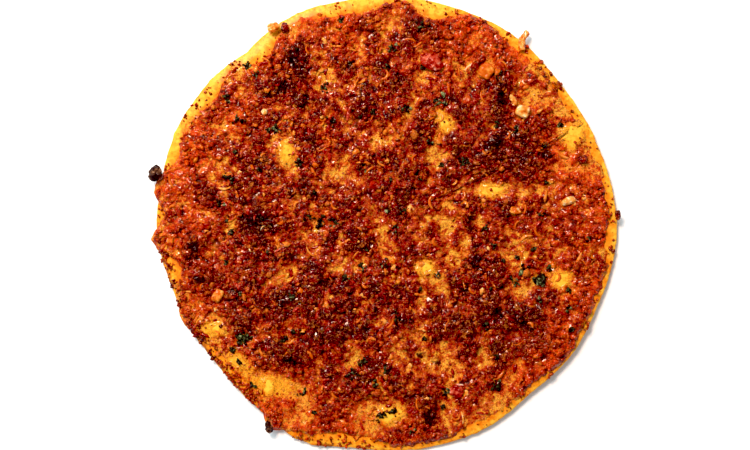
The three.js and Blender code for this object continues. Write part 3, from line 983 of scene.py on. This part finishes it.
def scatter(
    name, slot, x, y, sizes, tone, rng, sink, lumps, tilt=1.2, shape=GRAIN_SHAPE, heaped=None, replaced=()
):
    """One mesh of lumpy balls at x, y, sunk into the surface by a share of their height.

    `sizes` are their half axes in millimetres. Each looks as `heaped` as the mince under it, unless told."""
    template = ball(*shape)
    count, size = len(x), len(template)
    lumpy = template[None] * (1 + lumps * rng.normal(0, 1, (count, size, 1)))
    body = np.einsum("nij,nvj->nvi", turned(count, rng, tilt), lumpy * sizes[:, None, :])
    z = spread_top(x, y) + (1 - 2 * sink) * sizes[:, 2]
    points = body + np.stack([x, y, z], 1)[:, None, :]
    # The crest runs from 1 on top of a ball to low on its underside, where the mince finish paints shade.
    upward = body[:, :, 2] / np.abs(body[:, :, 2]).max(1, keepdims=True)
    heap = mince_amount(x, y) if heaped is None else heaped
    attributes = {
        "tone": np.repeat(tone, size),
        "crest": np.clip(0.55 + 0.45 * upward, 0, 1),
        "heap": np.repeat(heap, size),
        "fresh": np.repeat(freshness(x, y), size),
        "burnt": np.repeat(burntness(x, y), size),
    }
    faces = [repeated(group, count, size) for group in tube(*shape)]
    return add_piece(name, points.reshape(-1, 3), faces, slot, attributes, replaced)


# %% Where grains lie
def strewn(spacing, rng):
    """Places on a jittered triangular lattice, so that none is far from its neighbours' distance."""
    reach = 112
    row = spacing * 0.866
    i, j = np.meshgrid(np.arange(-reach, reach, spacing), np.arange(-reach, reach, row))
    i = i + (np.round(j / row) % 2) * spacing / 2
    x = i.ravel() + rng.uniform(-0.45, 0.45, i.size) * spacing
    y = j.ravel() + rng.uniform(-0.45, 0.45, i.size) * spacing
    return x, y


def anywhere(count, radius, rng):
    """Places spread evenly over a disc: a root keeps them from crowding round its middle."""
    reach = radius * np.sqrt(rng.uniform(0, 1, count))
    turn = rng.uniform(0, 2 * np.pi, count)
    return reach * np.cos(turn), reach * np.sin(turn)


def within(x, y, rim, inset):
    return np.hypot(x, y) < rim(np.arctan2(y, x)) - inset


def tones(middle, swing, count, rng):
    return np.clip(rng.normal(middle, swing, count), 0, 1)


GRAIN_SPACING = 2.2


def add_grains():
    """Grains over the whole spread: dense on the heaps, few where it is thin, in four meshes."""
    rng = np.random.default_rng(7)
    x, y = strewn(GRAIN_SPACING, rng)
    x, y = (values[within(x, y, mince_rim, -0.3)] for values in (x, y))
    amount = mince_amount(x, y)
    chance = (0.05 + 0.9 * smoothstep(amount, 0.2, 0.65)) * (1 - 0.6 * pastiness(x, y))
    keep = rng.uniform(0, 1, len(x)) < chance
    x, y, amount = x[keep], y[keep], amount[keep]
    for first, letter in enumerate("abcd"):
        gx, gy, heaped = (values[first::4] for values in (x, y, amount))
        radius = np.clip(rng.lognormal(-0.15, 0.33, len(gx)), 0.3, 1.7) * (0.6 + 0.5 * heaped)
        sizes = radius[:, None] * (rng.uniform(0.5, 1.7, (len(gx), 3)) * [1, 1, 0.6])
        tone = tones(0.48, 0.26, len(gx), rng)
        scatter(f"mince_grains_{letter}", "mince", gx, gy, sizes, tone, rng, 0.4, 0.2, 0.9)


add_grains()

# %% [markdown]
# ## Crumbs, onion, tomato and parsley
#
# Dark crumbs lie on the bare edge and on the blisters. Onion is in small dice and in curled slivers,
# tomato in wet shreds. Parsley has baked into dark clumps of tiny leaves. A sliver is a flat oval
# carried along a bowed line; everything else reuses the lumpy ball with other sizes.

# %% Dark crumbs on the bare bread
def add_crumbs():
    """Crumbs wherever there is little mince, in loose drifts."""
    rng = np.random.default_rng(17)
    x, y = strewn(2.6, rng)
    edge = within(x, y, bread_rim, 0.8)
    x, y = x[edge], y[edge]
    amount = mince_amount(x, y)
    chance = 0.1 + 0.5 * smoothstep(rough(x, y, 9, 18), -0.1, 0.6)
    keep = (rng.uniform(0, 1, len(x)) < chance) & (amount < 0.35)
    x, y = x[keep], y[keep]
    radius = np.clip(rng.lognormal(-0.85, 0.35, len(x)), 0.25, 0.95)
    sizes = radius[:, None] * rng.uniform(0.6, 1.5, (len(x), 3)) * [1, 1, 0.7]
    tone = tones(0.3, 0.3, len(x), rng)
    heaped = rng.uniform(0.35, 1.0, len(x))
    scatter("browned_crumbs", "mince", x, y, sizes, tone, rng, 0.3, 0.3, heaped=heaped)


def add_rim_crumbs():
    """Clusters of browned crumbs baked onto the bread's very edge, most of them at the lower left."""
    rng = np.random.default_rng(19)
    clusters, members = 110, 6
    low_left = np.radians(-140) + rng.normal(0, 0.35, (clusters, 1))
    all_round = rng.uniform(-np.pi, np.pi, (clusters, 1))
    middle = np.where(rng.uniform(0, 1, (clusters, 1)) < 0.6, low_left, all_round)
    angle = (middle + rng.normal(0, 0.013, (clusters, members))).ravel()
    reach = bread_rim(angle) - 0.3 - rng.uniform(0, 1, len(angle)) ** 1.3 * 5
    x, y = reach * np.cos(angle), reach * np.sin(angle)
    sizes = rng.uniform(0.25, 0.85, (len(x), 1)) * rng.uniform(0.5, 1.6, (len(x), 3)) * [1, 1, 0.7]
    tone = tones(0.35, 0.3, len(x), rng)
    heaped = rng.uniform(0.3, 1.1, len(x))
    scatter("rim_crumbs", "mince", x, y, sizes, tone, rng, 0.35, 0.3, heaped=heaped)


add_crumbs()
add_rim_crumbs()

# %% Slivers: an oval section along a bowed line
SLIVER_STEPS = 7
SLIVER_SIDES = 6
SLIVER_REACH = 96  # slivers lie within this radius, in millimetres


def add_slivers(name, slot, count, seed, length, width, depth, bow, paleness, lift):
    """Slivers of about the given length, width and depth in millimetres, bowed by `bow` radians.

    The line turns evenly from end to end. Round it runs an oval, out = w cos a, up = d sin a, rolled by a
    random angle, and slimmed by sqrt(1 - (2 t)^2) towards both ends. It lies `lift` depths high."""
    rng = np.random.default_rng(seed)
    cx, cy = anywhere(count, SLIVER_REACH, rng)
    keep = within(cx, cy, mince_rim, 2)
    cx, cy = cx[keep], cy[keep]
    count = len(cx)
    long = length * rng.uniform(0.6, 1.35, count)[:, None]
    curl = bow * rng.uniform(0.1, 1.5, count)[:, None] * rng.choice([-1, 1], (count, 1))
    t = np.linspace(-0.5, 0.5, SLIVER_STEPS)[None, :]
    heading = rng.uniform(0, 2 * np.pi, count)[:, None] + curl * t * 2
    step_x, step_y = (along * long / (SLIVER_STEPS - 1) for along in (np.cos(heading), np.sin(heading)))
    line_x = cx[:, None] + np.cumsum(step_x, 1) - step_x.sum(1, keepdims=True) / 2
    line_y = cy[:, None] + np.cumsum(step_y, 1) - step_y.sum(1, keepdims=True) / 2
    surface = spread_top(line_x.ravel(), line_y.ravel()).reshape(line_x.shape)
    line_z = 0.35 * surface + 0.65 * surface.mean(1, keepdims=True)
    slim = np.sqrt(np.clip(1 - (2 * t) ** 2, 0.05, 1)) * rng.uniform(0.7, 1.3, (count, 1))
    around = 2 * np.pi * np.arange(SLIVER_SIDES) / SLIVER_SIDES
    roll = rng.normal(0, 0.5, (count, 1, 1))
    side = (width / 2 * slim)[:, :, None] * np.cos(around)
    rise = (depth / 2 * slim)[:, :, None] * np.sin(around)
    out = side * np.cos(roll) - rise * np.sin(roll)
    up = side * np.sin(roll) + rise * np.cos(roll)
    px = line_x[:, :, None] - np.sin(heading)[:, :, None] * out
    py = line_y[:, :, None] + np.cos(heading)[:, :, None] * out
    pz = line_z[:, :, None] + lift * depth + up
    rings = np.stack([px, py, pz], 3).reshape(count, -1, 3)
    line = np.stack([line_x, line_y, line_z + lift * depth], 2)
    points = np.concatenate([rings, line[:, [0, -1]]], 1)
    size = points.shape[1]
    # These rings run the other way round than those of a ball, so each face is turned over.
    groups = [np.roll(group[:, ::-1], 1, 1) for group in tube(SLIVER_SIDES, SLIVER_STEPS)]
    faces = [repeated(group, count, size) for group in groups]
    attributes = {"tone": np.repeat(tones(paleness, 0.22, count, rng), size)}
    return add_piece(name, points.reshape(-1, 3), faces, slot, attributes)


add_slivers(
    "onion_slivers", "onion", count=150, seed=23,
    length=5.5, width=1.3, depth=0.8, bow=1.2, paleness=0.02, lift=0.1,
)
add_slivers(
    "tomato_shreds", "tomato", count=160, seed=29,
    length=3.6, width=1.5, depth=0.7, bow=0.7, paleness=0.25, lift=0.2,
)


# %% Diced onion and parsley
def add_dice():
    rng = np.random.default_rng(37)
    count = 130
    x, y = anywhere(count, 95, rng)
    sizes = rng.uniform(0.7, 1.5, (count, 1)) * rng.uniform(0.6, 1.5, (count, 3)) * [1, 1, 0.5]
    tone = tones(0.25, 0.28, count, rng)
    scatter("onion_dice", "onion", x, y, sizes, tone, rng, 0.6, 0.22, 0.8, BIT_SHAPE)


# The middle of each clump of parsley large enough to be seen at once.
PARSLEY_PLACES = (
    (-38, 28), (-28, 0), (-22, 2), (-60, -50), (-4, -70), (6, -41), (45, -45), (24, 55),
    (36, 28), (-23, 45), (-48, 43), (-64, 46), (17, 88), (-1, -85), (-14, -66), (62, -20),
)
LEAF_LEAST = [0.8, 0.5, 0.2]  # half axes of a leaf, as shares of its size
LEAF_MOST = [1.3, 0.9, 0.4]


def add_parsley():
    """Clumps of small leaves: the large ones at their places, and smaller ones anywhere."""
    rng = np.random.default_rng(43)
    small_clumps, leaves = 90, 12
    small_places = np.stack(anywhere(small_clumps, 95, rng), 1)
    places = np.concatenate([np.array(PARSLEY_PLACES), small_places])
    large = (np.arange(len(places)) < len(PARSLEY_PLACES))[:, None]
    spread = np.where(large, 1.5, rng.uniform(0.3, 1.4, (len(places), 1)))
    x = (places[:, :1] + spread * rng.normal(0, 0.8, (len(places), leaves))).ravel()
    y = (places[:, 1:] + spread * rng.normal(0, 0.8, (len(places), leaves))).ravel()
    leaf_size = rng.uniform(0.4, 0.9, (len(x), 1)) * np.where(np.repeat(large, leaves, 0), 1.25, 1)
    sizes = leaf_size * rng.uniform(LEAF_LEAST, LEAF_MOST, (len(x), 3))
    tone = tones(0.3, 0.32, len(x), rng)
    scatter("parsley_flecks", "herb", x, y, sizes, tone, rng, -0.6, 0.25, 1.4, LEAF_SHAPE)


def add_herb_clumps():
    """The two largest clumps, each a heap of leaves that fills its solid's box."""
    rng = np.random.default_rng(47)
    leaves = 46
    for node in ("herb_clump_right", "herb_clump_low"):
        low, high = (np.array(corner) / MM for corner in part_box(node))
        middle, half = (low + high) / 2, (high - low) / 2
        x, y = (middle[axis] + half[axis] * rng.normal(0, 0.42, leaves) for axis in (0, 1))
        leaf = rng.uniform(LEAF_LEAST, LEAF_MOST, (leaves, 3))
        sizes = rng.uniform(0.6, 1.3, (leaves, 1)) * leaf
        tone = tones(0.4, 0.35, leaves, rng)
        heap_of_leaves = (f"{node}_leaves", "herb", x, y, sizes, tone, rng, -0.8, 0.25, 1.4, LEAF_SHAPE)
        scatter(*heap_of_leaves, replaced=[node])


add_dice()
add_parsley()
add_herb_clumps()

# %% [markdown]
# ## The larger bits
#
# These are solids of the frame, seated in the mince where they lie. Their plain facets are refined: a
# copy is merged, each face is divided with smoothing, and noise along the normals makes it uneven. The
# frame's own solids are never touched, so each refined copy stands for its node.

# %% Divide the faces of a copy
MERGE_DISTANCE = 0.01 * MM  # points closer than this are one
EDGE_SHARPNESS = 0.12  # from 0, quite smoothed, to 1, as sharp as before


def divided(node):
    """Points in millimetres, normals and quads of the node's copy, each face divided into smaller ones."""
    shape = bmesh.new()
    shape.from_mesh(frame["nodes"][node].data)
    bmesh.ops.remove_doubles(shape, verts=shape.verts, dist=MERGE_DISTANCE)
    sharpness = shape.edges.layers.float.new("crease_edge")
    for edge in shape.edges:
        edge[sharpness] = EDGE_SHARPNESS
    rough_copy = bpy.data.meshes.new("rough_copy")
    shape.to_mesh(rough_copy)
    shape.free()
    holder = bpy.data.objects.new("rough_copy", rough_copy)
    bpy.context.scene.collection.objects.link(holder)
    modifier = holder.modifiers.new("finer", "SUBSURF")
    modifier.levels = modifier.render_levels = 2
    finer = holder.evaluated_get(bpy.context.evaluated_depsgraph_get()).to_mesh()
    points, normals = np.empty(len(finer.vertices) * 3), np.empty(len(finer.vertices) * 3)
    corners = np.empty(len(finer.loops), int)
    finer.vertices.foreach_get("co", points)
    finer.vertices.foreach_get("normal", normals)
    finer.loops.foreach_get("vertex_index", corners)
    bpy.data.objects.remove(holder)
    bpy.data.meshes.remove(rough_copy)
    return points.reshape(-1, 3) / MM, normals.reshape(-1, 3), corners.reshape(-1, 4)


# %% Make the divided copies uneven
BIT_RELIEF = {"onion": 0.6, "tomato": 1.0, "char": 0.8, "mince": 0.6}  # millimetres
BIT_PALENESS = {
    "onion_bit_edge": 0.42,
    "onion_dice_top": 0.55,
    "onion_strip_top": 0.35,
    "onion_dice_orange": 0.0,
    "onion_strip_edge": 0.35,
    "onion_strip_right": 0.45,
    "onion_strip_inner": 0.25,
    "onion_dice_left": 0.2,
}
USUAL_PALENESS = 0.4


def refined(node, slot, seed):
    """Points and quads of a finer, uneven copy of the node.

    Dividing with smoothing shrinks a shape, so it is stretched back to the node's own box first."""
    points, normals, quads = divided(node)
    low, high = (np.array(corner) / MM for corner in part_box(node))
    centred = points - (points.min(0) + points.max(0)) / 2
    points = (low + high) / 2 + centred * (high - low) / np.ptp(points, 0)
    x, y, z = points.T
    bumps = rough(x + z, y - z, 2.6, seed) + 0.8 * rough(y + z, x + z, 1.2, seed + 5)
    return points + normals * (BIT_RELIEF[slot] * bumps)[:, None], quads


def add_bits():
    slots = {row["node"]: row["material_slot"] for row in frame["record"]["subparts"]}
    bits = [node for node in sorted(slots) if slots[node] in BIT_RELIEF and node != "mince_topping"]
    for seed, node in enumerate(bits):
        slot = slots[node]
        points, quads = refined(node, slot, 100 + seed)
        # Painted light: each bit is paler at its top through its tone, and its low crest at the bottom gets
        # painted shade in the mince finish.
        height = (points[:, 2] - points[:, 2].mean()) / np.ptp(points[:, 2])
        patchiness = 0.6 * rough(points[:, 0], points[:, 1], 1.7, seed)
        attributes = {
            "tone": BIT_PALENESS.get(node, USUAL_PALENESS) + patchiness + 0.2 * height,
            "crest": np.clip(0.7 + height, 0, 1),
            "heap": np.full(len(points), 0.8),
            "fresh": np.zeros(len(points)),
            "burnt": np.full(len(points), 0.25),
        }
        add_piece(f"{node}_fine", points, [quads], slot, attributes, [node])


add_bits()

# %% [markdown]
# ## Floor, light and camera
#
# The lahmacun lies on a plain pale floor. One large, cool, soft lamp stands to the upper left, as a window
# would, with a small warm one beside it, and together their light is nearly white. Only the small lamp is
# mirrored in the oily mince, so the glints are tiny and warm. The camera looks straight down, from a
# little to the left of the middle.

# %% Floor
def make_floor():
    mesh = bpy.data.meshes.new("pale_floor")
    half = 1.5  # metres
    corners = [(-half, -half, 0), (half, -half, 0), (half, half, 0), (-half, half, 0)]
    mesh.from_pydata(corners, [], [(0, 1, 2, 3)])
    material = bpy.data.materials.new("pale_floor")
    material.use_nodes = True
    graph = Graph(material.node_tree)
    shader = material.node_tree.nodes["Principled BSDF"]
    shader.inputs["Roughness"].default_value = 0.8
    cloudy = graph.ramp(graph.swells(120, 3), (0.3, (0.955, 0.955, 0.96)), (0.7, (0.975, 0.975, 0.98)))
    graph.feed(shader.inputs["Base Color"], cloudy)
    mesh.materials.append(material)
    floor = bpy.data.objects.new("pale_floor", mesh)
    bpy.context.scene.collection.objects.link(floor)
    print("floor:", 2 * half, "m wide")


make_floor()


# %% Lamps, sky and camera
def add_lamp(name, place, size, power, colour, mirrored):
    """A square lamp at a place in metres, aimed at the middle; `mirrored` if it may show as a glint."""
    lamp = bpy.data.lights.new(name, "AREA")
    lamp.shape = "SQUARE"
    lamp.size = size
    lamp.energy = power
    lamp.color = colour
    holder = bpy.data.objects.new(name, lamp)
    holder.location = place
    holder.rotation_euler = (-Vector(place)).to_track_quat("-Z", "Y").to_euler()
    holder.visible_glossy = mirrored
    bpy.context.scene.collection.objects.link(holder)
    print(f"{name}: {power} W")


BLACK_LEVEL = (0.013, 0.015, 0.007)  # red, green and blue light below these prints black

add_lamp("window", (-0.5, 0.55, 0.8), 0.9, 13.4, (0.70, 0.93, 1.0), False)
add_lamp("spark", (-0.3, 0.5, 0.9), 0.25, 11, (1.0, 0.68, 0.52), True)

world = bpy.data.worlds.new("studio")
world.use_nodes = True
world.node_tree.nodes["Background"].inputs["Color"].default_value = (1.0, 0.99, 0.97, 1)
world.node_tree.nodes["Background"].inputs["Strength"].default_value = 0.42
world.cycles_visibility.glossy = False
bpy.context.scene.world = world
look = bpy.context.scene.view_settings
look.view_transform = "Standard"
look.use_curve_mapping = True
look.curve_mapping.black_level = BLACK_LEVEL
look.curve_mapping.update()

CAMERA_PLACE = (-0.0038, -0.0003, 0.650)
lens = bpy.data.cameras.new("camera")
lens.lens = 70
camera = bpy.data.objects.new("camera", lens)
camera.location = CAMERA_PLACE
bpy.context.scene.collection.objects.link(camera)
bpy.context.scene.camera = camera
print("camera at", CAMERA_PLACE, "with a lens of", lens.lens, "mm")
